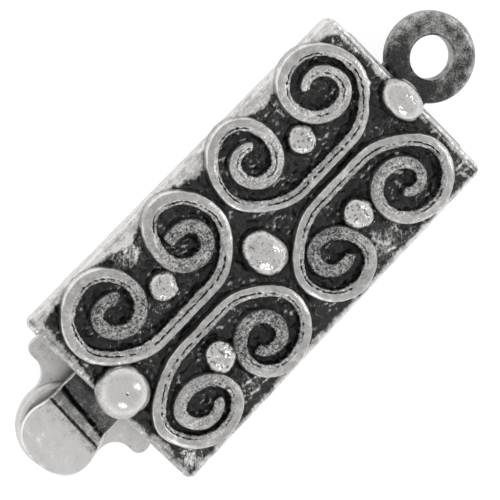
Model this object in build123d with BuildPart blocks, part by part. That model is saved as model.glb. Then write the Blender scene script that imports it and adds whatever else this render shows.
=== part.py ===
from build123d import *
import os

# One-strand box clasp of antiqued silver, in millimetres.
# X runs along the clasp: the mouth, the thumb tab and the tongue's ring are at -X, the box's ring is at +X.
# Left is +Y, looking from the mouth to the box's ring. Z is up, and z = 0 is the flat underside of the box.

# Box shell
SHELL_LENGTH = 18.6
SHELL_WIDTH = 7.6
SHELL_HEIGHT = 3.5
WALL = 0.45
CORNER_ROUNDING = 0.3
MOUTH_WIDTH = SHELL_WIDTH - 2 * WALL
LIP_Z = 2.0
NOTCH_WIDTH = 3.8

# Rings
RING_OUTER_RADIUS = 2.05
RING_HOLE_RADIUS = 1.0
RING_ROUNDING = 0.3
HOLE_CHAMFER = 0.1
BOX_RING_THICKNESS = 1.0
BOX_RING_X = 11.15
BOX_RING_Z = 2.7
SOLDER_WIDTH = 2.6
SOLDER_LENGTH = 0.5
TONGUE_RING_THICKNESS = 0.9
TONGUE_RING_X = -11.7

# Cover plate, which overhangs the shell on both sides and at the mouth
PLATE_LENGTH = 18.7
PLATE_WIDTH = 10.0
PLATE_THICKNESS = 0.85
PLATE_X = -0.2
PLATE_Y = 0.2
PLATE_EDGE = 0.2
PLATE_TOP_Z = SHELL_HEIGHT + PLATE_THICKNESS

# Scrolls and granules, which stand on the plate
SCROLL_HEIGHT = 0.6
SCROLL_WIDTH = 0.65
SCROLL_ROOT = 0.3
GRANULE_ROOT = 0.45
GRANULE_ROUNDING = 0.42

# Tongue, bent from one strip
STRIP = 0.4
RUNNING_GAP = 0.05
LEAF_Z = WALL + RUNNING_GAP
LEAF_WIDTH = 6.3
FOLD_RADIUS = 0.7
FOLD_X = 7.6
FOLD_Z = LEAF_Z + FOLD_RADIUS
FOLD_GAP = 0.06
EAR_SPAN = 7.2
EAR_LENGTH = 1.0
EAR_GAP = 0.1
EAR_CORNER = 0.45
EAR_FILLET = 0.9
ROOT_SEARCH = 0.01

# Spring leaf and thumb tab
SPRING_WIDTH = 5.6
SPRING_Z = LEAF_Z + 2 * FOLD_RADIUS - STRIP
SHOULDER_GAP = 0.1
NECK_WIDTH = 3.35
NECK_END_X = -11.05
TAB_WIDTH = 3.6
TAB_END_X = -13.55
TAB_END_ROUNDING = 1.75
TAB_ROOT_ROUNDING = 0.4
GROOVE_RADIUS = 0.15
GROOVE_XS = (-10.45, -11.25)

MOUTH_X = -SHELL_LENGTH / 2
MOUTH_INNER_X = MOUTH_X + WALL
EAR_INNER_X = MOUTH_X - EAR_GAP
EAR_OUTER_X = EAR_INNER_X - EAR_LENGTH
TONGUE_RING_Z = LEAF_Z + STRIP / 2
SHOULDER_X = MOUTH_INNER_X + SHOULDER_GAP
SPRING_TOP_Z = SPRING_Z + STRIP
NECK_START_X = NECK_END_X - TAB_ROOT_ROUNDING

# Each scroll's centre line is a straight stroke with a volute at both ends. A volute leaves the stroke along
# X and passes its turning points, where it runs along Y and along X by turns, from the outside to its tip.
# A tip level with the point before it ends a straight piece.
# Columns: stroke_y, then for each end where the stroke ends and the volute's turning points (x, y).
SCROLLS = {
    "mouth_left": {
        "stroke_y": 0.55,
        "mouth_end": (-6.65, [(-8.75, 2.8), (-6.65, 4.8), (-5.25, 3.25), (-6.35, 1.9), (-7.35, 2.9),
                              (-6.65, 3.6), (-6.0, 3.05)]),
        "ring_end": (-2.05, [(-0.55, 2.8), (-2.1, 4.75), (-3.35, 3.0), (-2.25, 1.8), (-1.45, 2.75),
                             (-2.2, 3.45), (-2.85, 3.45)]),
    },
    "ring_left": {
        "stroke_y": 0.6,
        "mouth_end": (2.1, [(0.4, 2.8), (2.1, 4.95), (3.4, 3.55), (2.3, 2.05), (1.4, 3.1), (2.0, 3.75),
                            (2.75, 3.75)]),
        "ring_end": (6.6, [(8.2, 2.95), (6.45, 4.85), (5.1, 3.65), (6.45, 1.95), (7.45, 2.65), (6.6, 3.85),
                           (6.05, 3.3)]),
    },
    "mouth_right": {
        "stroke_y": -0.45,
        "mouth_end": (-6.65, [(-8.7, -2.45), (-6.65, -4.35), (-5.25, -3.2), (-6.6, -1.95), (-7.65, -2.55),
                              (-6.75, -3.55), (-6.1, -3.0)]),
        "ring_end": (-2.4, [(-0.65, -2.45), (-2.6, -4.35), (-4.0, -3.1), (-2.7, -1.75), (-1.9, -2.65),
                            (-2.5, -3.4), (-3.25, -2.75)]),
    },
    "ring_right": {
        "stroke_y": -0.35,
        "mouth_end": (1.9, [(0.05, -2.55), (1.7, -4.3), (3.1, -3.1), (1.7, -1.55), (1.0, -2.2), (1.7, -3.0),
                            (2.5, -3.0)]),
        "ring_end": (6.15, [(8.3, -2.45), (6.6, -4.25), (4.8, -2.75), (5.85, -1.45), (7.1, -2.35),
                            (6.45, -3.05), (5.85, -2.55)]),
    },
}

# Granules. Columns: x, y, radius along X, radius along Y, height above the plate.
GRANULES = [
    (-8.75, 0.1, 1.15, 1.25, 0.95),
    (-0.2, -0.1, 0.85, 1.12, 0.85),
    (8.65, 0.15, 0.77, 1.1, 0.85),
    (-4.3, 2.15, 0.64, 0.68, 0.7),
    (4.35, 2.25, 0.62, 0.66, 0.7),
    (-4.65, -1.8, 0.65, 0.75, 0.7),
    (3.85, -1.8, 0.65, 0.68, 0.7),
]


def quarter_turn(start, end, leaves_along_x):
    """A quarter of an ellipse between two turning points of a scroll's centre line."""
    (start_x, start_y), (end_x, end_y) = start, end
    if leaves_along_x:
        center = (start_x, end_y)
        start_angle = 90 if start_y > end_y else -90
        end_angle = 0 if end_x > start_x else 180
    else:
        center = (end_x, start_y)
        start_angle = 0 if start_x > end_x else 180
        end_angle = 90 if end_y > start_y else -90
    turn = (end_angle - start_angle + 180) % 360 - 180
    EllipticalCenterArc(center, abs(end_x - start_x), abs(end_y - start_y), start_angle, arc_size=turn)


def volute(start, turning_points):
    """The volute's quarter turns, one after another from the stroke's end."""
    leaves_along_x = True
    for end in turning_points:
        if end[1] == start[1]:
            Line(start, end)
        else:
            quarter_turn(start, end, leaves_along_x)
        start = end
        leaves_along_x = not leaves_along_x


def scroll_line(row):
    """One scroll's whole centre line: the stroke and both volutes."""
    mouth_x, mouth_points = row["mouth_end"]
    ring_x, ring_points = row["ring_end"]
    mouth_start = (mouth_x, row["stroke_y"])
    ring_start = (ring_x, row["stroke_y"])
    with BuildLine() as line:
        Line(mouth_start, ring_start)
        volute(mouth_start, mouth_points)
        volute(ring_start, ring_points)
    return line.line


def hole_rims(piece):
    """The two rims of the ring's hole, which are the piece's full circles of that radius."""
    circles = piece.edges().filter_by(GeomType.CIRCLE)
    return circles.filter_by(lambda edge: abs(edge.radius - RING_HOLE_RADIUS) < 1e-6)


# Box shell: floor, walls, the mouth's two catch lips and ring, all soldered
with BuildPart() as box_shell:
    with BuildSketch(Plane.XY.offset(BOX_RING_Z)):
        with Locations((BOX_RING_X, 0)):
            Circle(RING_OUTER_RADIUS)
    extrude(amount=BOX_RING_THICKNESS / 2, both=True)
    fillet(box_shell.edges().filter_by(GeomType.CIRCLE), RING_ROUNDING)
    with BuildSketch():
        RectangleRounded(SHELL_LENGTH, SHELL_WIDTH, CORNER_ROUNDING)
    extrude(amount=SHELL_HEIGHT)
    with BuildSketch(Plane.XY.offset(BOX_RING_Z)):
        with Locations((SHELL_LENGTH / 2, 0)):
            Rectangle(SOLDER_LENGTH, SOLDER_WIDTH, align=(Align.MIN, Align.CENTER))
    extrude(amount=BOX_RING_THICKNESS / 2 - RING_ROUNDING, both=True)
    with BuildSketch(Plane.XY.offset(WALL)):
        Rectangle(SHELL_LENGTH - 2 * WALL, MOUTH_WIDTH)
    extrude(amount=SHELL_HEIGHT - WALL, mode=Mode.SUBTRACT)
    with BuildSketch(Plane.YZ.offset(MOUTH_X)):
        with Locations((0, WALL)):
            Rectangle(MOUTH_WIDTH, LIP_Z - WALL, align=(Align.CENTER, Align.MIN))
        with Locations((0, LIP_Z)):
            Rectangle(NOTCH_WIDTH, SHELL_HEIGHT - LIP_Z, align=(Align.CENTER, Align.MIN))
    extrude(amount=WALL, mode=Mode.SUBTRACT)
    with BuildSketch(Plane.XY.offset(BOX_RING_Z)):
        with Locations((BOX_RING_X, 0)):
            Circle(RING_HOLE_RADIUS)
    extrude(amount=BOX_RING_THICKNESS / 2, both=True, mode=Mode.SUBTRACT)
    chamfer(hole_rims(box_shell), HOLE_CHAMFER)
box_shell.part.label = "box_shell"

# Cover: the plate, the granules and the scrolls in one casting
with BuildPart() as scroll_cover:
    with BuildSketch(Plane.XY.offset(SHELL_HEIGHT)):
        with Locations((PLATE_X, PLATE_Y)):
            Rectangle(PLATE_LENGTH, PLATE_WIDTH)
    extrude(amount=PLATE_THICKNESS)
    chamfer(scroll_cover.faces().sort_by(Axis.Z)[-1].edges(), PLATE_EDGE)
    for x, y, radius_x, radius_y, height in GRANULES:
        with BuildSketch(Plane.XY.offset(PLATE_TOP_Z - GRANULE_ROOT)):
            with Locations((x, y)):
                Ellipse(radius_x, radius_y)
        extrude(amount=GRANULE_ROOT + height)
        fillet(scroll_cover.edges(Select.LAST).sort_by(Axis.Z)[-1], GRANULE_ROUNDING)
    for row in SCROLLS.values():
        with BuildSketch(Plane.XY.offset(PLATE_TOP_Z - SCROLL_ROOT)):
            trace(scroll_line(row), line_width=SCROLL_WIDTH)
        extrude(amount=SCROLL_ROOT + SCROLL_HEIGHT)
scroll_cover.part.label = "scroll_cover"

# Tongue: the lower leaf with its ears and ring, and the lower half of the fold
with BuildPart() as tongue_plate:
    with BuildSketch(Plane.XY.offset(TONGUE_RING_Z)):
        with Locations((TONGUE_RING_X, 0)):
            Circle(RING_OUTER_RADIUS)
    extrude(amount=TONGUE_RING_THICKNESS / 2, both=True)
    fillet(tongue_plate.edges().filter_by(GeomType.CIRCLE), RING_ROUNDING)
    with BuildSketch(Plane.XY.offset(LEAF_Z)) as leaf_outline:
        with Locations((EAR_OUTER_X, 0)):
            Rectangle(EAR_LENGTH, EAR_SPAN, align=(Align.MIN, Align.CENTER))
        fillet(leaf_outline.vertices(), EAR_CORNER)
        with Locations((TONGUE_RING_X, 0)):
            Circle(RING_OUTER_RADIUS)
        ear_line = leaf_outline.vertices().filter_by_position(
            Axis.X, EAR_OUTER_X - ROOT_SEARCH, EAR_OUTER_X + ROOT_SEARCH
        )
        fillet(ear_line.filter_by_position(Axis.Y, -RING_OUTER_RADIUS, RING_OUTER_RADIUS), EAR_FILLET)
        with Locations((FOLD_X, 0)):
            Rectangle(FOLD_X - EAR_INNER_X + EAR_LENGTH / 2, LEAF_WIDTH, align=(Align.MAX, Align.CENTER))
    extrude(amount=STRIP)
    with BuildSketch(Plane.XZ):
        with Locations((FOLD_X, FOLD_Z)):
            Circle(FOLD_RADIUS)
            Circle(FOLD_RADIUS - STRIP, mode=Mode.SUBTRACT)
        with Locations((FOLD_X, FOLD_Z - FOLD_GAP)):
            Rectangle(FOLD_RADIUS, FOLD_RADIUS, align=(Align.MIN, Align.MAX), mode=Mode.INTERSECT)
    extrude(amount=SPRING_WIDTH / 2, both=True)
    with BuildSketch(Plane.XY.offset(TONGUE_RING_Z)):
        with Locations((TONGUE_RING_X, 0)):
            Circle(RING_HOLE_RADIUS)
    extrude(amount=TONGUE_RING_THICKNESS / 2, both=True, mode=Mode.SUBTRACT)
    chamfer(hole_rims(tongue_plate), HOLE_CHAMFER)
tongue_plate.part.label = "tongue_plate"

# Spring leaf: the upper half of the fold, the sprung strip with its two catch shoulders, the neck and the tab
with BuildPart() as spring_leaf:
    with BuildSketch(Plane.XY.offset(SPRING_Z)) as tab_outline:
        with Locations((TAB_END_X, 0)):
            Rectangle(NECK_END_X - TAB_END_X, TAB_WIDTH, align=(Align.MIN, Align.CENTER))
        fillet(tab_outline.vertices().group_by(Axis.X)[0], TAB_END_ROUNDING)
        fillet(tab_outline.vertices().group_by(Axis.X)[-1], TAB_ROOT_ROUNDING)
        with Locations((NECK_START_X, 0)):
            Rectangle(SHOULDER_X - NECK_START_X, NECK_WIDTH, align=(Align.MIN, Align.CENTER))
        with Locations((SHOULDER_X, 0)):
            Rectangle(FOLD_X - SHOULDER_X, SPRING_WIDTH, align=(Align.MIN, Align.CENTER))
    extrude(amount=STRIP)
    with BuildSketch(Plane.XZ):
        with Locations((FOLD_X, FOLD_Z)):
            Circle(FOLD_RADIUS)
            Circle(FOLD_RADIUS - STRIP, mode=Mode.SUBTRACT)
            Rectangle(FOLD_RADIUS, FOLD_RADIUS, align=(Align.MIN, Align.MIN), mode=Mode.INTERSECT)
    extrude(amount=SPRING_WIDTH / 2, both=True)
    with BuildSketch(Plane.XZ):
        with Locations(*[(x, SPRING_TOP_Z) for x in GROOVE_XS]):
            Circle(GROOVE_RADIUS)
    extrude(amount=TAB_WIDTH, both=True, mode=Mode.SUBTRACT)
spring_leaf.part.label = "spring_leaf"

os.makedirs("parts", exist_ok=True)
for piece in (box_shell, scroll_cover, tongue_plate, spring_leaf):
    export_step(piece.part, f"parts/{piece.part.label}.step")
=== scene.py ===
import math

import bpy
from mathutils import Matrix, Vector, noise


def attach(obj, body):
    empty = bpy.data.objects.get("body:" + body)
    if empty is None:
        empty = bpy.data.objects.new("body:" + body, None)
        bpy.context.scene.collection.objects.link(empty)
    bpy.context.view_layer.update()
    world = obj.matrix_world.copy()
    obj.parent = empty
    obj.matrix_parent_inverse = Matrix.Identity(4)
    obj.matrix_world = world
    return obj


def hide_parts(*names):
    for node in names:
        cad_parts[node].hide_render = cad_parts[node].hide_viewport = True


# Looks of the antiqued silver box clasp. Shapes are worked out in millimetres, in the frame's axes, and
# scaled by MM where a mesh is made. Left is +Y. Levels called heights are measured from the plate's top.
MM = 0.001

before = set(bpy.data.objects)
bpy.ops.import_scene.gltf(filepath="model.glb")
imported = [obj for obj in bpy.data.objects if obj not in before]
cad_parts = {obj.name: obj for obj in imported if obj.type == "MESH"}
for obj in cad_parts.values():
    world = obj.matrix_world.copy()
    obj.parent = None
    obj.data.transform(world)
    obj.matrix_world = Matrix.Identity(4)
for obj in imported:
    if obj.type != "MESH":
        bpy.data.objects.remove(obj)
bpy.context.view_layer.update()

# Cover plate. It is hand made: the mouth end is a little wider than the ring end.
PLATE_BOTTOM, PLATE_TOP = 3.5, 4.35
PLATE_MOUTH_X, PLATE_RING_X = -9.58, 9.16
PLATE_STEP = 0.055
PLATE_ROUNDING = 0.2
PLATE_CORNER = 0.42
PLATE_SIDE_LEVELS = (4.08, 4.0, 3.9, 3.8, 3.7, 3.62, 3.55, PLATE_BOTTOM)
SIDE_INSET = 0.07
LEFT_RIM, RIGHT_RIM, MOUTH_RIM, RING_RIM = 0.36, 0.27, 0.3, 0.34
MOUTH_RIM_SHINE = 0.8

# Scroll wires. WIRE_EDGE is the share of half the width that is rounded down to EDGE_SHARE of the height.
WIRE_HEIGHT = 0.5
WIRE_FOOT = -0.12
WIRE_STEP = 0.045
WIRE_COLUMNS = 32
WIRE_EDGE = 0.27
EDGE_SHARE = 0.6
CROWN = 0.085
# Columns: how far in from the wall's foot (0 to 1) and the level
WALL_LEVELS = [(0.0, WIRE_FOOT), (0.6, 0.08)]
WALL_LEAN = 0.03
# The wires' sides are painted lighter than their blackened silver: a painted fill against the shade of the
# plate and wires on them.
WALL_TONE_WITH_FILL = 0.62
WALL_GRAIN = 0.4
TIP_ROUNDING = 0.07
STRAIGHTENING = 0.2
OUTER_POLISH = 0.84
OUTER_GRAIN = 0.08
# The seam's size, and how much lower and rougher the torn strip beyond it is
SEAM_HALF_WIDTH = 0.08
SEAM_DEPTH = 0.09
TORN_DROP = 0.025
TORN_GRAIN = 0.85
PIT_DEPTH = 0.02
PIT_SIZE = 0.12

# Where a wire leaves its stroke for the outer turn, and the outer turn for the coil, in quarter turns
TURN_FROM, TURN_TO = 0.2, 1.0
COIL_FROM, COIL_TO = 2.3, 3.6

# Each wire runs from its mouth-end tip, round the outside of that volute, along its straight stroke and
# round the other volute to the ring-end tip. A volute is quarter ellipses between its turning points.
# Columns: x, y and the wire's width there. "inside" is the side of travel that faces the coils.
# The finishes say how bright a coil is, how grainy, and how open its seam stays (0 to 1).
SCROLLS = {
    "scroll_mouth_left": {
        "inside": 1,
        "stroke": [(-6.0, 0.53, 0.7), (-2.7, 0.53, 0.7)],
        "mouth_end": [(-8.68, 2.8, 0.72), (-6.7, 4.78, 0.74), (-5.22, 3.15, 0.62), (-6.35, 1.85, 0.72),
                      (-7.4, 2.85, 0.7), (-6.8, 3.5, 0.6), (-5.95, 3.22, 0.48)],
        "ring_end": [(-0.45, 2.7, 0.62), (-2.1, 4.75, 0.74), (-3.4, 2.95, 0.7), (-2.2, 1.75, 0.74),
                     (-1.4, 2.6, 0.72), (-2.25, 3.34, 0.66), (-2.84, 3.32, 0.6)],
        "mouth_finish": (0.66, 1.0, 0.15),
        "ring_finish": (0.66, 1.0, 0.15),
    },
    "scroll_ring_left": {
        "inside": 1,
        "stroke": [(2.95, 0.57, 0.64), (5.95, 0.57, 0.64)],
        "mouth_end": [(0.39, 2.7, 0.54), (2.19, 4.92, 0.62), (3.49, 3.45, 0.66), (2.39, 2.0, 0.66),
                      (1.39, 3.0, 0.66), (2.09, 3.75, 0.56), (2.69, 3.5, 0.48)],
        "ring_end": [(8.32, 2.8, 0.56), (6.54, 4.85, 0.7), (5.09, 3.5, 0.64), (6.54, 1.95, 0.68),
                     (7.49, 2.8, 0.64), (6.64, 3.85, 0.52), (6.04, 3.5, 0.46)],
        "mouth_finish": (0.86, 0.6, 0.75),
        "ring_finish": (0.88, 0.55, 0.9),
    },
    "scroll_mouth_right": {
        "inside": -1,
        "stroke": [(-5.6, -0.51, 0.62), (-3.2, -0.51, 0.62)],
        "mouth_end": [(-8.72, -2.45, 0.68), (-6.86, -4.39, 0.64), (-5.36, -3.26, 0.64), (-6.81, -1.96, 0.66),
                      (-7.81, -2.61, 0.68), (-6.86, -3.61, 0.6), (-6.14, -3.12, 0.48)],
        "ring_end": [(-0.71, -2.56, 0.58), (-2.71, -4.43, 0.64), (-4.11, -3.11, 0.66), (-2.86, -1.81, 0.68),
                     (-1.96, -2.71, 0.7), (-2.66, -3.46, 0.62), (-3.41, -2.86, 0.56)],
        "mouth_finish": (0.76, 0.6, 0.05),
        "ring_finish": (0.62, 1.0, 0.1),
    },
    "scroll_ring_right": {
        "inside": -1,
        "stroke": [(2.9, -0.38, 0.64), (5.6, -0.38, 0.64)],
        "mouth_end": [(0.09, -2.55, 0.58), (1.74, -4.3, 0.64), (3.14, -3.15, 0.64), (1.74, -1.55, 0.62),
                      (1.04, -2.35, 0.68), (1.84, -3.15, 0.6), (2.44, -3.0, 0.5)],
        "ring_end": [(8.36, -2.58, 0.62), (6.59, -4.28, 0.64), (4.84, -2.73, 0.62), (5.99, -1.53, 0.68),
                     (7.14, -2.53, 0.56), (6.59, -3.13, 0.52), (5.99, -2.78, 0.46)],
        "mouth_finish": (0.64, 1.0, 0.1),
        "ring_finish": (0.76, 0.8, 0.2),
    },
}

# Nicks and spurs on the wires. Columns: x, y, size, which edge (1 faces the coils), how far it moves inwards.
PINCHES = [
    (8.31, 1.66, 0.13, -1, -0.17),
    (7.75, 0.95, 0.3, -1, 0.1),
    (7.0, -2.95, 0.16, 1, -0.14),
    (8.35, 2.9, 0.35, 1, 0.12),
    (-8.2, 3.9, 0.3, 1, -0.08),
    (0.1, -3.6, 0.3, 1, -0.1),
]

# Level of the granules' feet, and the mesh rows round and up each
GRANULE_FOOT = -0.12
GRANULE_AROUND, GRANULE_UP = 96, 44
# Granules. Columns: name, x, y, radius along X, radius along Y, height, how flat-topped, how dented (0 to 1).
GRANULES = [
    ("granule_mouth", -8.73, 0.1, 1.27, 1.29, 0.95, 2.15, 0.12),
    ("granule_middle", -0.18, -0.18, 1.0, 1.22, 0.82, 2.6, 0.6),
    ("granule_ring", 8.71, 0.07, 0.85, 1.16, 0.82, 2.4, 0.4),
    ("granule_mouth_left", -4.29, 2.05, 0.74, 0.74, 0.66, 2.7, 0.9),
    ("granule_ring_left", 4.42, 2.1, 0.72, 0.77, 0.66, 2.7, 0.9),
    ("granule_mouth_right", -4.75, -1.95, 0.76, 0.82, 0.66, 2.8, 1.0),
    ("granule_ring_right", 3.9, -2.02, 0.76, 0.8, 0.66, 2.8, 1.0),
]

# Spring leaf
STRIP = 0.4
LEAF_HALF_WIDTH = 2.8
LEAF_MIDDLE_Z = 1.7
LEAF_EDGE = 0.11
SHOULDER_X = -8.75
NECK_HALF_WIDTH = 1.47
NECK_SHIFT = 0.03
TAB_SHIFT = -0.08
WAIST_X = -10.7
TAB_X = -12.18
TAB_HALF_WIDTH = 1.8
TAB_END_X = -13.65
TAB_FULLNESS = 2.25
FOLD_X = 7.6
FOLD_Z = 1.2
FOLD_MIDDLE_RADIUS = 0.5
# Mesh columns across the strip and rows along its parts
LEAF_COLUMNS = 45
FOLD_STEPS, STRIP_STEPS, NECK_STEPS, TAB_STEPS = 16, 60, 140, 60
# Grooves across the neck. Columns: x, half width, depth, how much the groove slants.
GROOVES = [(-10.5, 0.3, 0.14, -0.13), (-11.24, 0.08, 0.08, -0.058)]

# Box shell: where its end wall stops and the ring starts, and the ring's centre and radii
BOX_END_X, RING_START_X = 9.28, 9.35
RING_CENTRE = (11.15, 0.0, 2.7)
RING_HOLE_RADIUS, RING_RADIUS = 1.05, 1.95

# Silver: sizes of the three kinds of blotch in millimetres, and how much each moves the polish
SPECKLE_SIZE, PATCH_SIZE, FILM_SIZE = 0.08, 0.4, 1.7
SPECKLE_LEAST = 0.45
SPECKLE_BY_GRAIN = 1.7
PATCH_SHARE = 0.65
FILM_SHARE = 0.3
GRAIN_LOSS = 0.08
BLACK_ROUGHNESS = 0.28
WARMTH = (1.0, 0.985, 0.97)
# Blackened to bright. Columns: level, grey.
ANTIQUED = [(0.0, 0.038), (0.3, 0.058), (0.46, 0.16), (0.62, 0.3), (0.78, 0.41), (0.9, 0.5), (1.0, 0.72)]
GRANULE_TONES = [(0.0, 0.036), (0.3, 0.065), (0.48, 0.18), (0.66, 0.38), (0.82, 0.51), (1.0, 0.6)]
BRIGHT = [(0.0, 0.035), (0.3, 0.07), (0.5, 0.18), (0.64, 0.38), (0.74, 0.58), (0.95, 0.63), (1.0, 0.8)]
STRIP_POLISH = 0.82

# Light tent: how bright it is at the sides and overhead, and how far up (0 to 1) it is as grey as overhead
TENT_SIDE, TENT_TOP, TENT_TOP_FROM = 1.35, 0.87, 0.75
# Floor and lamps, in metres. The floor is a little under the clasp.
FLOOR_HALF, FLOOR_DROP = 0.5, 0.00002
FLOOR_GREY, FLOOR_GLOW = 0.3, 0.82
LAMP_DISTANCE = 0.3
LAMP_SIZE = 0.032
LAMP_WATTS = 0.08
# Directions are seen from the camera: right, up, towards it.
LAMPS = [("lamp_right", (0.84, 0.03, 0.54)), ("lamp_front", (0.14, -0.82, 0.55))]

# Camera, fitted to the plate's four corners, the scrolls and the two rings in the photograph
TILT_X = math.radians(16.377)
TILT_Y = math.radians(2.869)
TURN = math.radians(46.395)
CAMERA_TARGET = Vector((-0.539, 0.317, 4.35))
CAMERA_DISTANCE = 150.0
PIXELS_PER_MM = 23.075
IMAGE_PIXELS = 500
SENSOR = 36.0


def smooth(low, high, value):
    """0 below low, 1 above high, and a smooth step between."""
    share = min(max((value - low) / (high - low), 0.0), 1.0)
    return share * share * (3 - 2 * share)


def bell(value, middle, half_width):
    """1 at the middle, falling to about a third at half_width from it."""
    return math.exp(-(((value - middle) / half_width) ** 2))


def quarter_round(share):
    """Height of a rounded edge, from 0 at the edge to 1 where share is 1."""
    share = min(max(share, 0.0), 1.0)
    return math.sqrt(1 - (1 - share) ** 2)


def ripple(x, y, size, seed):
    """Smooth noise from -1 to 1 whose lumps are about size millimetres."""
    return noise.noise(Vector((x / size, y / size, seed)))


def new_piece(name, vertices, faces, attributes, material, body):
    """A smooth-shaded mesh piece, made from millimetres, with a number for each vertex in each attribute."""
    mesh = bpy.data.meshes.new(name)
    mesh.from_pydata([Vector(v) * MM for v in vertices], [], faces)
    for key, values in attributes.items():
        layer = mesh.attributes.new(key, "FLOAT", "POINT")
        layer.data.foreach_set("value", values)
    mesh.shade_smooth()
    mesh.materials.append(material)
    piece = bpy.data.objects.new(name, mesh)
    bpy.context.scene.collection.objects.link(piece)
    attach(piece, body)
    return piece


def loft_faces(rows, columns):
    """Quads joining rows of a closed ring of columns, with a cap at each end."""
    faces = []
    for row in range(rows - 1):
        for column in range(columns):
            a = row * columns + column
            b = row * columns + (column + 1) % columns
            faces.append((a, b, b + columns, a + columns))
    faces.append(tuple(reversed(range(columns))))
    faces.append(tuple(range((rows - 1) * columns, rows * columns)))
    return faces


# Materials


def add_node(material, kind, **settings):
    made = material.node_tree.nodes.new(kind)
    for key, value in settings.items():
        setattr(made, key, value)
    return made


def link(material, source, target):
    material.node_tree.links.new(source, target)


def math_node(material, operation, *values):
    """A math node. Each input is a number or an output socket."""
    made = add_node(material, "ShaderNodeMath", operation=operation)
    for socket, value in zip(made.inputs, values):
        if isinstance(value, (int, float)):
            socket.default_value = value
        else:
            link(material, value, socket)
    return made.outputs[0]


def noise_node(material, coordinates, size, detail, roughness):
    """Noise whose lumps are about size millimetres."""
    made = add_node(material, "ShaderNodeTexNoise")
    made.inputs["Scale"].default_value = 1 / (size * MM)
    made.inputs["Detail"].default_value = detail
    made.inputs["Roughness"].default_value = roughness
    link(material, coordinates, made.inputs["Vector"])
    return made.outputs["Fac"]


def step_node(material, value, low, high, to_low=0.0, to_high=1.0):
    made = add_node(material, "ShaderNodeMapRange", interpolation_type="SMOOTHSTEP")
    made.inputs["From Min"].default_value = low
    made.inputs["From Max"].default_value = high
    made.inputs["To Min"].default_value = to_low
    made.inputs["To Max"].default_value = to_high
    link(material, value, made.inputs["Value"])
    return made.outputs[0]


def attribute_node(material, name):
    made = add_node(material, "ShaderNodeAttribute", attribute_name=name, attribute_type="GEOMETRY")
    return made.outputs["Fac"]


def silver(name, tones, polish, grain, roughness, bump):
    """Silver that is blackened where polish is 0 and bright where it is 1, and pitted where grain is 1.
    polish and grain are functions that give a socket, or numbers for an all-over value."""
    material = bpy.data.materials.new(name)
    material.use_nodes = True
    material.node_tree.nodes.clear()
    output = add_node(material, "ShaderNodeOutputMaterial")
    shader = add_node(material, "ShaderNodeBsdfPrincipled")
    shader.inputs["Metallic"].default_value = 1.0
    link(material, shader.outputs[0], output.inputs["Surface"])
    place = add_node(material, "ShaderNodeTexCoord").outputs["Object"]
    polish = polish(material) if callable(polish) else polish
    grain = grain(material) if callable(grain) else grain
    speckle = math_node(material, "SUBTRACT", noise_node(material, place, SPECKLE_SIZE, 3.0, 0.75), 0.5)
    patches = math_node(material, "SUBTRACT", noise_node(material, place, PATCH_SIZE, 4.0, 0.62), 0.5)
    film = math_node(material, "SUBTRACT", noise_node(material, place, FILM_SIZE, 3.0, 0.55), 0.5)

    speckle_share = math_node(material, "MULTIPLY_ADD", grain, SPECKLE_BY_GRAIN, SPECKLE_LEAST)
    level = math_node(material, "MULTIPLY_ADD", speckle, speckle_share, polish)
    level = math_node(material, "MULTIPLY_ADD", patches, PATCH_SHARE, level)
    level = math_node(material, "MULTIPLY_ADD", film, FILM_SHARE, level)
    level = math_node(material, "MULTIPLY_ADD", grain, -GRAIN_LOSS, level)
    ramp = add_node(material, "ShaderNodeValToRGB")
    while len(ramp.color_ramp.elements) < len(tones):
        ramp.color_ramp.elements.new(0.5)
    for stop, (position, grey) in zip(ramp.color_ramp.elements, tones):
        stop.position = position
        stop.color = (*(grey * share for share in WARMTH), 1.0)
    link(material, level, ramp.inputs[0])
    link(material, ramp.outputs[0], shader.inputs["Base Color"])

    matte = step_node(material, level, 0.2, 0.9, BLACK_ROUGHNESS, roughness)
    matte = math_node(material, "MULTIPLY_ADD", grain, 0.1, matte)
    link(material, matte, shader.inputs["Roughness"])

    relief = math_node(material, "MULTIPLY", speckle, math_node(material, "ADD", grain, 0.1))
    relief = math_node(material, "MULTIPLY_ADD", patches, 0.5, relief)
    bump_node = add_node(material, "ShaderNodeBump")
    bump_node.inputs["Strength"].default_value = 1.0
    bump_node.inputs["Distance"].default_value = bump * MM
    link(material, relief, bump_node.inputs["Height"])
    link(material, bump_node.outputs[0], shader.inputs["Normal"])
    return material


def by_attribute(name):
    return lambda material: attribute_node(material, name)


def vertex_silver(name, tones, roughness, bump):
    """Silver whose polish and grain come from its mesh's own vertices."""
    return silver(name, tones, by_attribute("polish"), by_attribute("grain"), roughness, bump)


antiqued = vertex_silver("antiqued_silver", ANTIQUED, 0.3, 0.034)
granule_finish = vertex_silver("granule_silver", GRANULE_TONES, 0.15, 0.008)
leaf_finish = vertex_silver("leaf_silver", BRIGHT, 0.34, 0.004)
tongue_finish = silver("tongue_silver", BRIGHT, STRIP_POLISH, 0.1, 0.4, 0.003)


# Scroll wires


def quarter_turn(start, end, leaves_along_x, steps=14):
    """Points after start along a quarter of an ellipse to end, with the width going evenly between theirs."""
    points = []
    for step in range(1, steps + 1):
        share = step / steps
        angle = share * math.pi / 2
        if leaves_along_x:
            x = start[0] + (end[0] - start[0]) * math.sin(angle)
            y = end[1] + (start[1] - end[1]) * math.cos(angle)
        else:
            x = end[0] + (start[0] - end[0]) * math.cos(angle)
            y = start[1] + (end[1] - start[1]) * math.sin(angle)
        points.append((x, y, start[2] + (end[2] - start[2]) * share))
    return points


def straightened(point, start, end, share):
    """A point of a turn moved towards the straight line between the turn's ends."""
    straight = [a + (b - a) * share for a, b in zip(start[:2], end[:2])]
    pull = STRAIGHTENING * math.sin(math.pi * share)
    return (*(a + (b - a) * pull for a, b in zip(point[:2], straight)), point[2])


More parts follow.
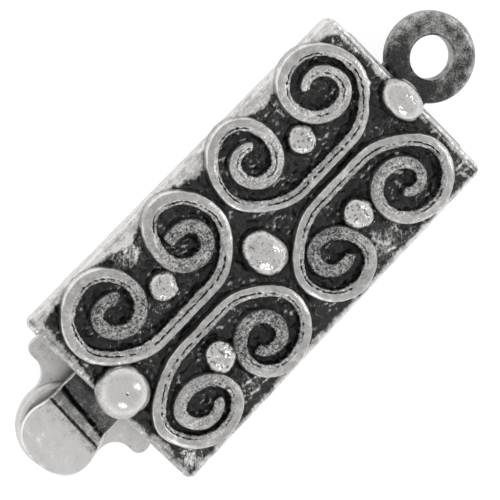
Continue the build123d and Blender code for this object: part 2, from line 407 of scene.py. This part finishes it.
def volute(start, turning_points):
    """Points of a volute after the stroke's end, each with its width and how many quarter turns it is in."""
    points = []
    leaves_along_x = True
    for turn, end in enumerate(turning_points):
        arc = quarter_turn(start, end, leaves_along_x)
        if turn == 0:
            arc = [straightened(point, start, end, (i + 1) / len(arc)) for i, point in enumerate(arc)]
        points += [(x, y, width, turn + (i + 1) / len(arc)) for i, (x, y, width) in enumerate(arc)]
        start = end
        leaves_along_x = not leaves_along_x
    return points


def even_steps(points, step):
    """The same line with its points a step apart."""
    lengths = [0.0]
    for a, b in zip(points, points[1:]):
        lengths.append(lengths[-1] + math.hypot(b[0] - a[0], b[1] - a[1]))
    count = int(lengths[-1] / step)
    made = []
    i = 0
    for k in range(count + 1):
        s = lengths[-1] * k / count
        while i < len(points) - 2 and lengths[i + 1] < s:
            i += 1
        share = (s - lengths[i]) / max(lengths[i + 1] - lengths[i], 1e-9)
        made.append(tuple(a + (b - a) * share for a, b in zip(points[i], points[i + 1])))
    return made


def eased(points, passes=14):
    """The line with its curvature evened out, its ends kept."""
    for _ in range(passes):
        inner = [tuple((a + 2 * b + c) / 4 for a, b, c in zip(*three))
                 for three in zip(points, points[1:], points[2:])]
        points = [points[0], *inner, points[-1]]
    return points


def wire_line(scroll):
    """One wire's centre line: x, y, width and quarter turns from the stroke."""
    mouth_start, ring_start = [(*point, 0.0) for point in scroll["stroke"]]
    mouth = volute(scroll["stroke"][0], scroll["mouth_end"])
    ring = volute(scroll["stroke"][1], scroll["ring_end"])
    line = [*reversed(mouth), mouth_start, ring_start, *ring]
    return eased(even_steps(line, WIRE_STEP))


def wire_finish(scroll, ring_side, turns):
    """Polish, grain and seam opening at a place on a wire, going from the outer turn's to the coil's."""
    coil_polish, coil_grain, coil_seam = scroll["ring_finish" if ring_side else "mouth_finish"]
    coil = smooth(COIL_FROM, COIL_TO, turns)
    shine = OUTER_POLISH + (coil_polish - OUTER_POLISH) * coil
    rough = OUTER_GRAIN + (coil_grain - OUTER_GRAIN) * coil
    return shine, rough, 1 + (coil_seam - 1) * coil


def pinched(x, y, v):
    """How far a point of a wire moves inwards where the wire's edge was nicked or drawn out."""
    moved = 0.0
    for px, py, size, edge, amount in PINCHES:
        away = math.hypot(x - px, y - py)
        if away < 3 * size:
            moved += amount * bell(away, 0.0, size) * smooth(0.2, 1.0, v * edge)
    return moved


def wall(x, y, inward, foot, edge, tone):
    """A side of the wire at one place, from its foot up to just under the top's edge."""
    foot_x, foot_y = x + inward.x * foot, y + inward.y * foot
    made = []
    for share, level in WALL_LEVELS:
        px = foot_x + (edge[0] - foot_x) * share
        py = foot_y + (edge[1] - foot_y) * share
        made.append((px, py, level, tone, WALL_GRAIN))
    return made


def seam_shape(s, turns, seam_share, seed):
    """How open the seam is at a place along the wire, where it runs across it and its half width."""
    on_turn = smooth(TURN_FROM, TURN_TO, turns)
    gap = (0.7 + 0.9 * on_turn) * ripple(s, 0, 1.6, seed + 9) + 0.12 * (1 - on_turn)
    gap += (0.75 - 0.35 * on_turn) * ripple(s, 0, 0.3, seed + 3) + 0.4 * ripple(s, 0, 0.14, seed + 4)
    seam_at = 0.08 + 0.34 * smooth(0.1, 1.3, turns) - 0.2 * smooth(2.6, 3.6, turns)
    seam_at += 0.1 * ripple(s, 0, 1.1, seed + 2) + 0.16 * ripple(s, 0, 0.2, seed + 6)
    seam_width = SEAM_HALF_WIDTH * (1.15 - 0.35 * on_turn + 1.7 * max(ripple(s, 0, 0.17, seed + 7), -0.3))
    return smooth(-0.2, 0.14, gap) * seam_share, seam_at, seam_width


def across_wire(x, y, inward, half, s, v, torn, seed):
    """The point of the top at v, from -1 at the outer edge to 1 at the one that faces the coils."""
    ragged = (0.02 + 0.08 * torn) * (ripple(s, v, 0.26, seed + 80) + 0.5 * ripple(s, v, 0.12, seed + 81))
    across = v * half * (1 + ragged)
    across += pinched(x + inward.x * across, y + inward.y * across, v)
    return x + inward.x * across, y + inward.y * across


def top_height(px, py, v, drop, seam, pit, rough, seed):
    """The top's height above the plate: crowned, rounded at the edges, grooved by the seam and pitted."""
    rounding = quarter_round((1 - abs(v)) / WIRE_EDGE)
    height = WIRE_HEIGHT * (EDGE_SHARE + (1 - EDGE_SHARE) * rounding) - CROWN * v * v
    height -= drop + SEAM_DEPTH * seam + PIT_DEPTH * pit
    return height + 0.016 * rough * ripple(px, py, 0.1, seed + 20) + 0.02 * ripple(px, py, 0.5, seed + 30)


def top_tone(px, py, s, v, half, turns, shine, torn, seam, seam_at, pit, seed):
    """The top's polish: dark in the seam and pits, streaked and frayed inside it, lighter at the edges as
    burnished wear and a painted highlight, with painted glints on the torn strip.
    """
    on_turn = smooth(TURN_FROM, TURN_TO, turns)
    streak = ripple(0.35 * s, v * half, 0.09, seed + 70)
    frayed = smooth(0.75, 1.0, abs(v)) * torn * (0.4 + 1.2 * ripple(px, py, 0.13, seed + 60))
    # Light band along both edges: partly burnished wear, partly a painted highlight of the rounded edge.
    burnish_and_highlight = bell(abs(v), 0.88, 0.09) * smooth(-0.35, 0.05, ripple(s, v, 0.9, seed + 90))
    # Light flecks on the torn strip: painted glints of its grains' facets.
    painted_glint_fleck = smooth(0.16, 0.36, ripple(px, py, 0.11, seed + 95)) * torn
    lip = bell(v, seam_at - 0.22, 0.08) * smooth(-0.1, 0.25, ripple(s, 0, 0.8, seed + 8))
    tone = shine * (1 - 0.95 * seam) - 0.1 * torn * (1 - smooth(COIL_FROM, COIL_TO, turns)) - 0.22 * pit
    tone -= (0.14 + 0.2 * torn) * max(streak, 0.0) - 0.12 * torn * max(-streak, 0.0)
    tone -= max(frayed, 0.0)
    tone += 0.3 * burnish_and_highlight * (1 - 0.7 * torn) + 0.2 * painted_glint_fleck + 0.17 * lip * on_turn
    return max(tone, 0.05)


def wire_top(x, y, inward, half, s, turns, finish, tip_share, seam_shaped, seed):
    """The wire's top at one place along it: x, y, height, polish and grain of each column."""
    shine, roughness, seam_share = finish
    seam_open, seam_at, seam_width = seam_shaped
    step_width = 0.06 + 0.4 * (1 - seam_open)
    torn_grain = (TORN_GRAIN - roughness) * (0.35 + 0.35 * smooth(TURN_FROM, TURN_TO, turns))
    made = []
    for column in range(WIRE_COLUMNS):
        v = -1 + 2 * column / (WIRE_COLUMNS - 1)
        torn = smooth(seam_at - step_width, seam_at + step_width, v)
        px, py = across_wire(x, y, inward, half, s, v, torn, seed)
        seam = seam_open * bell(v, seam_at, seam_width)
        rough = max(roughness, roughness + torn_grain * torn)
        pit = smooth(0.12, 0.42, ripple(px, py, PIT_SIZE, seed + 50)) * rough
        height = top_height(px, py, v, TORN_DROP * seam_share * torn, seam, pit, rough, seed)
        tone = top_tone(px, py, s, v, half, turns, shine, torn, seam, seam_at, pit, seed)
        made.append((px, py, height * (0.75 + 0.25 * tip_share), tone, rough))
    return made


def scroll_wire(name, scroll, seed):
    """A flattened wire with a seam along it: polished outside the seam, a little lower and torn inside."""
    line = wire_line(scroll)
    last = len(line) - 1
    middle_x = (scroll["stroke"][0][0] + scroll["stroke"][1][0]) / 2
    vertices, polish, grain = [], [], []
    for k, (x, y, width, turns) in enumerate(line):
        before, after = line[max(k - 1, 0)], line[min(k + 1, last)]
        tangent = Vector((after[0] - before[0], after[1] - before[1])).normalized()
        inward = Vector((-tangent.y, tangent.x)) * scroll["inside"]
        s = k * WIRE_STEP
        tip = min(min(k, last - k) * WIRE_STEP / TIP_ROUNDING, 1.0)
        tip_share = math.sqrt(max(1 - (1 - tip) ** 2, 0.02))
        uneven = 1 + 0.07 * ripple(s, 0, 0.9, seed) + 0.04 * ripple(s, 0, 0.25, seed + 5)
        half = width / 2 * uneven * tip_share
        finish = wire_finish(scroll, x > middle_x, turns)
        seam_open, seam_at, seam_width = seam_shape(s, turns, finish[2], seed)
        seam_shaped = (seam_open * tip, seam_at, seam_width)
        top = wire_top(x, y, inward, half, s, turns, finish, tip_share, seam_shaped, seed)
        outer_foot, inner_foot = -half - WALL_LEAN, half + WALL_LEAN
        on_rim = rim_share(x + inward.x * outer_foot, y + inward.y * outer_foot)
        # Sides: the painted fill tone, or worn bright where they stand on the rim.
        wall_tone = max(WALL_TONE_WITH_FILL, 0.8 * on_rim)
        outer_wall = wall(x, y, inward, outer_foot, top[0], wall_tone)
        inner_wall = reversed(wall(x, y, inward, inner_foot, top[-1], WALL_TONE_WITH_FILL))
        for px, py, height, tone, rough in (*outer_wall, *top, *inner_wall):
            vertices.append((px, py, PLATE_TOP + height))
            polish.append(tone)
            grain.append(rough)
    faces = loft_faces(len(line), WIRE_COLUMNS + 4)
    if scroll["inside"] == 1:
        faces = [tuple(reversed(face)) for face in faces]
    return new_piece(name, vertices, faces, {"polish": polish, "grain": grain}, antiqued,
                     "box")


# Cover plate

# Worn places on the plate. Columns: x, y, half length along X, half width along Y, how bright (0 to 1).
WORN_PLACES = [
    (-4.3, 4.1, 0.75, 0.5, 0.5),
    (4.5, 3.9, 0.6, 0.6, 0.2),
    (3.8, -3.9, 0.8, 0.6, 0.5),
    (-4.5, -3.9, 0.6, 0.5, 0.3),
    (-8.9, -4.3, 0.5, 0.5, 0.7),
    (-5.0, 1.35, 0.35, 0.25, 0.35),
    (-1.2, 1.6, 0.5, 0.3, 0.15),
    (8.6, 3.6, 0.4, 0.6, 0.25),
    (8.5, -3.9, 0.5, 0.5, 0.35),
]
# Where the bright rim on the left side widens between volutes. Columns: x, half length, extra width.
RIM_BULGES = [(-9.3, 0.7, 0.35), (-4.0, 0.9, 0.4), (0.25, 0.8, 0.4), (4.4, 0.9, 0.42), (9.0, 0.7, 0.45)]


def left_edge(x):
    """The plate's left edge, y at a place along it."""
    return 5.2 - 0.0165 * (x + 7) + 0.02 * ripple(x, 0, 1.5, 41)


def right_edge(x):
    return -5.0 + 0.0075 * (x + 8) + 0.02 * ripple(x, 0, 1.5, 43)


def rim_share(x, y):
    """How far a point of the plate's top is inside its bright worn rim, from 0 to 1."""
    bulge = sum(extra * bell(x, middle, half) for middle, half, extra in RIM_BULGES)
    ragged = 0.14 * ripple(x, y, 0.45, 3) + 0.09 * ripple(x, y, 0.12, 4) + 0.1 * ripple(x, 5 * y, 0.6, 5)
    sides = (
        (left_edge(x) - y, LEFT_RIM + bulge, 1.0),
        (y - right_edge(x), RIGHT_RIM, 1.0),
        (x - PLATE_MOUTH_X, MOUTH_RIM + 0.28 * bell(y, 4.6, 1.6) + 0.15 * bell(y, -3.0, 0.9),
         MOUTH_RIM_SHINE),
        (PLATE_RING_X - x, RING_RIM, 1.0),
    )
    return max(shine * smooth(rim + 0.16, rim - 0.12, distance + ragged) if distance < rim + 0.4 else 0.0
               for distance, rim, shine in sides)


def rounded_place(share_x, share_y):
    """The plate's point for shares from -1 to 1 along and across it, and how far it is from the edge.
    Points near a corner move in, so that the corner is round."""
    half_x = (PLATE_RING_X - PLATE_MOUTH_X) / 2
    x = (PLATE_RING_X + PLATE_MOUTH_X) / 2 + half_x * share_x
    half_y = (left_edge(x) - right_edge(x)) / 2
    y = (left_edge(x) + right_edge(x)) / 2 + half_y * share_y
    over_x = half_x * abs(share_x) - (half_x - PLATE_CORNER)
    over_y = half_y * abs(share_y) - (half_y - PLATE_CORNER)
    to_edge = PLATE_CORNER - max(over_x, over_y)
    if over_x > 0 and over_y > 0:
        shrink = 1 - max(over_x, over_y) / math.hypot(over_x, over_y)
        x -= math.copysign(over_x * shrink, share_x)
        y -= math.copysign(over_y * shrink, share_y)
    return x, y, to_edge


def plate_point(share_x, share_y):
    """One point of the plate's top: its place, polish and grain."""
    x, y, to_edge = rounded_place(share_x, share_y)
    share = rim_share(x, y)
    lumps = 0.06 * ripple(x, y, 0.8, 1) + 0.11 * ripple(x, y, 0.32, 2) + 0.045 * ripple(x, y, 0.16, 6)
    lines = ripple(x, 9 * y, 0.7, 8)
    drop = PLATE_ROUNDING * (1 - quarter_round(to_edge / PLATE_ROUNDING))
    end_line = max(bell(PLATE_RING_X - x, 0.22, 0.05), 0.6 * bell(x - PLATE_MOUTH_X, 0.26, 0.05))
    end_line *= smooth(-0.3, 0.1, ripple(y, x, 0.7, 17))
    drop += 0.05 * end_line
    height = lumps * (1 - 0.75 * share) - 0.06 * (1 - share) + 0.014 * share * lines - drop
    worn = max(level * bell(x, px, half_x) * bell(y, py, half_y)
               for px, py, half_x, half_y, level in WORN_PLACES)
    wrinkle = bell(ripple(x, y, 0.42, 63) + 0.5 * ripple(x, y, 0.17, 64), 0.0, 0.05)
    wrinkle *= smooth(-0.1, 0.3, ripple(x, y, 1.1, 65)) + worn
    # Grey blobs on the blackened recess: painted glints, each over a slight rise.
    painted_glint_blob = smooth(0.05, 0.4, ripple(x + 0.4 * y, 1.6 * y, 0.26, 61))
    painted_glint_blob *= smooth(-0.2, 0.3, ripple(x, y, 0.9, 62))
    height += (1 - share) * (0.03 * wrinkle + 0.03 * painted_glint_blob)
    streaks = worn * ripple(x + y, 2.5 * (x - y), 0.25, 12)
    # The recess's colour: worn places, streaks and casting wrinkles, lighter on raised lumps partly as worn
    # high spots and partly as painted glints, and the painted glint blobs.
    cast = 1.25 * worn + 1.6 * streaks + 2.2 * max(lumps, 0.0) + 0.6 * wrinkle + 0.75 * painted_glint_blob
    tone = max(share * (1.0 - 0.35 * max(lines, 0.0) - 0.55 * end_line), cast)
    return (x, y, PLATE_TOP + min(height, 0.02)), tone, 0.12 + 0.6 * (1 - share)


def plate_sides(vertices, polish, grain, border):
    """Adds the side walls below the border of the plate's top, with an underside, and gives their faces."""
    faces = []
    above = border
    for level in PLATE_SIDE_LEVELS:
        inset = SIDE_INSET * (1 - quarter_round((level - PLATE_BOTTOM) / 0.12))
        below = []
        for i, index in enumerate(border):
            x, y, _ = vertices[index]
            next_x, next_y, _ = vertices[border[(i + 1) % len(border)]]
            last_x, last_y, _ = vertices[border[i - 1]]
            outward = Vector((next_y - last_y, last_x - next_x)).normalized()
            push = 0.012 * ripple(x + y, level * 3, 0.4, 7) - inset
            below.append(len(vertices))
            vertices.append((x + outward.x * push, y + outward.y * push, level))
            polish.append(1.05 - 0.3 * max(ripple(x + y, 12 * level, 0.8, 14), 0.0))
            grain.append(0.3)
        for i in range(len(border)):
            j = (i + 1) % len(border)
            faces.append((above[j], above[i], below[i], below[j]))
        above = below
    return [*faces, tuple(reversed(above))]


def cover_plate():
    """The plate's lumpy cast top, rounded worn rim, side walls and flat underside."""
    columns = int((PLATE_RING_X - PLATE_MOUTH_X) / PLATE_STEP) + 1
    rows = int((left_edge(0) - right_edge(0)) / PLATE_STEP) + 1
    made = [plate_point(-1 + 2 * column / columns, -1 + 2 * row / rows)
            for row in range(rows + 1) for column in range(columns + 1)]
    vertices = [point for point, _, _ in made]
    polish = [tone for _, tone, _ in made]
    grain = [rough for _, _, rough in made]
    width = columns + 1
    faces = []
    for row in range(rows):
        for column in range(columns):
            a = row * width + column
            faces.append((a, a + 1, a + 1 + width, a + width))
    border = [*range(width), *(row * width + columns for row in range(1, rows + 1)),
              *(rows * width + column for column in range(columns - 1, -1, -1)),
              *(row * width for row in range(rows - 1, 0, -1))]
    faces += plate_sides(vertices, polish, grain, border)
    return new_piece("cover_plate", vertices, faces, {"polish": polish, "grain": grain}, antiqued,
                     "box")


# Granules


def granule(name, x, y, radius_x, radius_y, height, flatness, dented, seed):
    """A cast ball pressed into the plate: a dome on a short wall, uneven and dented by hand."""
    around, up, foot = GRANULE_AROUND, GRANULE_UP, GRANULE_FOOT
    vertices, polish, grain = [], [], []
    for level in range(up + 1):
        angle = math.pi / 2 * level / up
        out = math.cos(angle) ** (2 / flatness) if level < up else 0.0
        lift = math.sin(angle) ** (2 / flatness)
        for step in range(around):
            turn = 2 * math.pi * step / around
            cx, cy = math.cos(turn), math.sin(turn)
            uneven = 1 + 0.1 * dented * ripple(cx, cy, 0.9, seed)
            uneven += 0.03 * dented * ripple(cx, cy, 0.25, seed + 4)
            px = x + radius_x * out * cx * uneven
            py = y + radius_y * out * cy * uneven
            dents = 0.07 * ripple(px, py, 0.5, seed + 8) + 0.022 * ripple(px, py, 0.2, seed + 11)
            pitted = smooth(0.1, 0.4, ripple(px, py, 0.13, seed + 15)) * dented
            from_middle = math.hypot(px - x, py - y)
            pip = bell(from_middle, 0.0, 0.06) if dented < 0.2 else 0.0
            pz = foot + (height - foot) * lift + (dented * dents - 0.02 * pitted) * lift - 0.05 * pip
            vertices.append((px, py, PLATE_TOP + pz))
            # Darker down the dome's lower sides: partly less worn silver, partly painted shade against the
            # tent's bright reflection there.
            top_wear_and_painted_shade = 0.62 + 0.35 * smooth(0.2, 0.85, pz / height)
            polish.append(smooth(-0.02, 0.1, pz) * (top_wear_and_painted_shade - 0.42 * pitted) - 0.9 * pip)
            grain.append(0.08 + 0.55 * dented)
    faces = []
    for level in range(up):
        for step in range(around):
            a = level * around + step
            b = level * around + (step + 1) % around
            faces.append((a, b, b + around, a + around))
    faces.append(tuple(reversed(range(around))))
    return new_piece(name, vertices, faces, {"polish": polish, "grain": grain}, granule_finish,
                     "box")


# Spring leaf


def leaf_half_width(x):
    """Half the spring leaf's width at a place along it, from the fold to the tab's end."""
    if x >= SHOULDER_X:
        return LEAF_HALF_WIDTH
    if x >= TAB_X:
        return NECK_HALF_WIDTH + (TAB_HALF_WIDTH - NECK_HALF_WIDTH) * smooth(WAIST_X, TAB_X, x)
    share = min((TAB_X - x) / (TAB_X - TAB_END_X), 1.0)
    return max(TAB_HALF_WIDTH * (1 - share ** TAB_FULLNESS) ** (1 / TAB_FULLNESS), 0.05)


def leaf_stations():
    """Places along the strip's middle: x, z, the direction its top faces as an angle from X, half width."""
    stations = []
    for step in range(FOLD_STEPS + 1):
        angle = math.pi / 2 * step / FOLD_STEPS
        stations.append((FOLD_X + FOLD_MIDDLE_RADIUS * math.cos(angle),
                         FOLD_Z + FOLD_MIDDLE_RADIUS * math.sin(angle), angle, LEAF_HALF_WIDTH))
    flat = [FOLD_X + (SHOULDER_X - FOLD_X) * step / STRIP_STEPS for step in range(1, STRIP_STEPS + 1)]
    neck = [SHOULDER_X + (TAB_X - SHOULDER_X) * step / NECK_STEPS for step in range(1, NECK_STEPS + 1)]
    tab = [TAB_X + (TAB_END_X - TAB_X) * math.sin(math.pi / 2 * step / TAB_STEPS)
           for step in range(1, TAB_STEPS + 1)]
    stations += [(x, LEAF_MIDDLE_Z, math.pi / 2, LEAF_HALF_WIDTH) for x in flat]
    stations.append((SHOULDER_X - 0.001, LEAF_MIDDLE_Z, math.pi / 2, NECK_HALF_WIDTH))
    stations += [(x, LEAF_MIDDLE_Z, math.pi / 2, leaf_half_width(x)) for x in (*neck, *tab)]
    return stations


def leaf_tone(x, y, to_edge, cut):
    """Polish of the leaf's top: blackened in the grooves, grey on the ridge and neck, bright on the tab,
    light along the neck's and tab's edges as wear and a painted highlight.
    """
    skewed = x - 0.09 * y
    on_tab = smooth(-11.26, -11.36, skewed) * (0.7 + 0.12 * smooth(-11.35, -12.0, x))
    inside_box = STRIP_POLISH * smooth(-9.8, -9.0, x)
    ridge = 0.6 * smooth(-10.62, -10.8, skewed)
    bump = 0.3 + 0.16 * bell(skewed, -9.98, 0.16) + 0.12 * ripple(x, y, 0.3, 91)
    tone = max(on_tab, ridge, bump, inside_box)
    tone = tone + (0.3 - tone) * smooth(0.01, 0.05, cut)
    # Light band along the neck's and tab's edges: partly edge wear, partly a painted highlight of the rounded
    # edge.
    edge_wear_and_highlight = 1 - smooth(0.03, 0.08, to_edge)
    return max(tone, (0.78 + 0.4 * smooth(-11.2, -11.6, x)) * edge_wear_and_highlight if x < -9.6 else 0.0)


def groove_cut(x, y):
    """How deep the neck's grooves cut into the leaf's top at a place."""
    cut = max(depth * bell(x + slant * y, groove_x, groove_half * 0.62)
              for groove_x, groove_half, depth, slant in GROOVES)
    return cut * (1 + 0.9 * ripple(x, 3 * y, 0.45, 92))


def to_leaf_edge(x, y, half):
    """About how far a point of the leaf is from its edge or from the tab's end."""
    to_side = half - abs(y)
    return min(to_side, (x - TAB_END_X) * 0.7 + 0.5 * to_side) if x < TAB_X else to_side


def leaf_top(x, y, half):
    """The leaf's top: its height from the strip's middle and its polish."""
    tab = smooth(-11.3, -12.0, x)
    to_edge = to_leaf_edge(x, y, half)
    cut = groove_cut(x, y)
    dome = tab * (0.05 * (1 - ((x + 12.2) / 1.3) ** 2) - 0.1 * (y / TAB_HALF_WIDTH) ** 2)
    level = STRIP / 2 - LEAF_EDGE * (1 - quarter_round(to_edge / LEAF_EDGE)) + dome - cut
    level -= 0.035 * tab * bell(to_edge, 0.24, 0.05) * smooth(-0.6, 0.3, y)
    return level, leaf_tone(x, y, to_edge, cut)


def leaf_underside(x, y, half):
    """The leaf's flat underside: its height from the strip's middle and its polish."""
    edge = LEAF_EDGE * (1 - quarter_round(to_leaf_edge(x, y, half) / LEAF_EDGE))
    return edge - STRIP / 2, STRIP_POLISH


def spring_leaf():
    """The sprung strip with its catch shoulders, grooved neck and slightly domed thumb tab."""
    vertices, polish, grain = [], [], []
    stations = leaf_stations()
    for x, z, angle, half in stations:
        up = Vector((math.cos(angle), math.sin(angle)))
        shift = TAB_SHIFT + (NECK_SHIFT - TAB_SHIFT) * smooth(-11.7, -10.6, x) if x < SHOULDER_X else 0.0
        for side, surface in ((1, leaf_top), (-1, leaf_underside)):
            for column in range(LEAF_COLUMNS):
                y = -side * math.sin((-1 + 2 * column / (LEAF_COLUMNS - 1)) * math.pi / 2) * half
                level, tone = surface(x, y, half)
                vertices.append((x + up.x * level, y + shift, z + up.y * level))
                polish.append(tone)
                grain.append(0.3 * max(0.9 - tone, 0.0))
    faces = loft_faces(len(stations), 2 * LEAF_COLUMNS)
    return new_piece("spring_strip", vertices, faces, {"polish": polish, "grain": grain}, leaf_finish,
                     "spring")


# Box shell, kept from the frame: blackened, worn grey round the ring's rim and along the box's walls


def shell_polish(material):
    """Polish of the shell: grey on the ring, more worn round its rims and less next to the box."""
    place = add_node(material, "ShaderNodeTexCoord").outputs["Object"]
    offset = add_node(material, "ShaderNodeVectorMath", operation="SUBTRACT")
    link(material, place, offset.inputs[0])
    offset.inputs[1].default_value = Vector(RING_CENTRE) * MM
    flat = add_node(material, "ShaderNodeVectorMath", operation="MULTIPLY")
    link(material, offset.outputs[0], flat.inputs[0])
    flat.inputs[1].default_value = (1.0, 1.0, 0.0)
    radius = add_node(material, "ShaderNodeVectorMath", operation="LENGTH")
    link(material, flat.outputs[0], radius.inputs[0])
    from_centre = radius.outputs["Value"]
    worn_rim = step_node(material, from_centre, (RING_RADIUS - 0.35) * MM, RING_RADIUS * MM, 0.0, 0.2)
    hole_rim = step_node(material, from_centre, (RING_HOLE_RADIUS + 0.15) * MM, RING_HOLE_RADIUS * MM,
                         0.0, 0.12)
    parts = add_node(material, "ShaderNodeSeparateXYZ")
    link(material, place, parts.inputs[0])
    away = step_node(material, parts.outputs["X"], 9.7 * MM, 12.2 * MM, 0.2, 0.5)
    ring = math_node(material, "ADD", away, math_node(material, "MAXIMUM", worn_rim, hole_rim))
    blotches = math_node(material, "SUBTRACT", noise_node(material, place, 0.5, 4.0, 0.65), 0.5)
    ring = math_node(material, "MULTIPLY_ADD", blotches, 1.3, ring)
    walls = step_node(material, parts.outputs["X"], RING_START_X * MM, BOX_END_X * MM, 0.0, 0.85)
    return math_node(material, "MAXIMUM", ring, walls)


def shell_grain(material):
    """Grain of the shell: pitted on the ring, satin on the box."""
    parts = add_node(material, "ShaderNodeSeparateXYZ")
    link(material, add_node(material, "ShaderNodeTexCoord").outputs["Object"], parts.inputs[0])
    return step_node(material, parts.outputs["X"], BOX_END_X * MM, RING_START_X * MM, 0.05, 0.45)


def keep_with(node, material):
    """A CAD node that stays, with this material."""
    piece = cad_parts[node]
    piece.data.materials.clear()
    piece.data.materials.append(material)
    return piece


plate = cover_plate()
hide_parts("scroll_cover")
for seed, (name, scroll) in enumerate(SCROLLS.items()):
    scroll_wire(name, scroll, 10.0 + 40 * seed)
for seed, row in enumerate(GRANULES):
    granule(*row, 3.0 + 25 * seed)
strip = spring_leaf()
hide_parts("spring_leaf")
keep_with("box_shell", silver("shell_silver", ANTIQUED, shell_polish, shell_grain, 0.34, 0.012))
keep_with("tongue_plate", tongue_finish)


# Floor, light and camera


def white_floor():
    material = bpy.data.materials.new("floor_white")
    material.use_nodes = True
    shader = material.node_tree.nodes["Principled BSDF"]
    shader.inputs["Base Color"].default_value = (FLOOR_GREY, FLOOR_GREY, FLOOR_GREY, 1.0)
    shader.inputs["Roughness"].default_value = 1.0
    shader.inputs["Emission Color"].default_value = (1.0, 1.0, 1.0, 1.0)
    shader.inputs["Emission Strength"].default_value = FLOOR_GLOW
    mesh = bpy.data.meshes.new("floor")
    corners = [(-FLOOR_HALF, -FLOOR_HALF, 0), (FLOOR_HALF, -FLOOR_HALF, 0), (FLOOR_HALF, FLOOR_HALF, 0),
               (-FLOOR_HALF, FLOOR_HALF, 0)]
    mesh.from_pydata(corners, [], [(0, 1, 2, 3)])
    mesh.materials.append(material)
    floor = bpy.data.objects.new("floor", mesh)
    floor.location.z = -FLOOR_DROP
    bpy.context.scene.collection.objects.link(floor)


def tent_light():
    """A light tent: greyer overhead, where the camera looks in, and white all round."""
    world = bpy.data.worlds.new("tent")
    world.use_nodes = True
    bpy.context.scene.world = world
    nodes, links = world.node_tree.nodes, world.node_tree.links
    background = nodes["Background"]
    place = nodes.new("ShaderNodeTexCoord")
    parts = nodes.new("ShaderNodeSeparateXYZ")
    links.new(place.outputs["Generated"], parts.inputs[0])
    ramp = nodes.new("ShaderNodeMapRange")
    ramp.interpolation_type = "SMOOTHSTEP"
    ramp.inputs["From Min"].default_value = 0.0
    ramp.inputs["From Max"].default_value = TENT_TOP_FROM
    ramp.inputs["To Min"].default_value = TENT_SIDE
    ramp.inputs["To Max"].default_value = TENT_TOP
    links.new(parts.outputs["Z"], ramp.inputs["Value"])
    background.inputs["Color"].default_value = (1.0, 1.0, 1.0, 1.0)
    links.new(ramp.outputs[0], background.inputs["Strength"])


def lamp(name, direction):
    """A small soft lamp pointing at the clasp from direction."""
    data = bpy.data.lights.new(name, "AREA")
    data.shape = "SQUARE"
    data.size = LAMP_SIZE
    data.energy = LAMP_WATTS
    made = bpy.data.objects.new(name, data)
    made.location = direction.normalized() * LAMP_DISTANCE
    made.rotation_euler = (-direction).to_track_quat("-Z", "Y").to_euler()
    bpy.context.scene.collection.objects.link(made)


turned = Matrix.Rotation(-TILT_X, 3, "X") @ Matrix.Rotation(-TILT_Y, 3, "Y") @ Matrix.Rotation(-TURN, 3, "Z")
camera_data = bpy.data.cameras.new("camera")
camera_data.sensor_width = SENSOR
camera_data.lens = SENSOR * PIXELS_PER_MM * CAMERA_DISTANCE / IMAGE_PIXELS
camera_data.clip_start = 0.01
camera = bpy.data.objects.new("camera", camera_data)
place = (CAMERA_TARGET + turned @ Vector((0, 0, CAMERA_DISTANCE))) * MM
camera.matrix_world = Matrix.Translation(place) @ turned.to_4x4()
bpy.context.scene.collection.objects.link(camera)
bpy.context.scene.camera = camera

white_floor()
tent_light()
for lamp_name, direction in LAMPS:
    lamp(lamp_name, turned @ Vector(direction))
bpy.context.scene.view_settings.view_transform = "Standard"
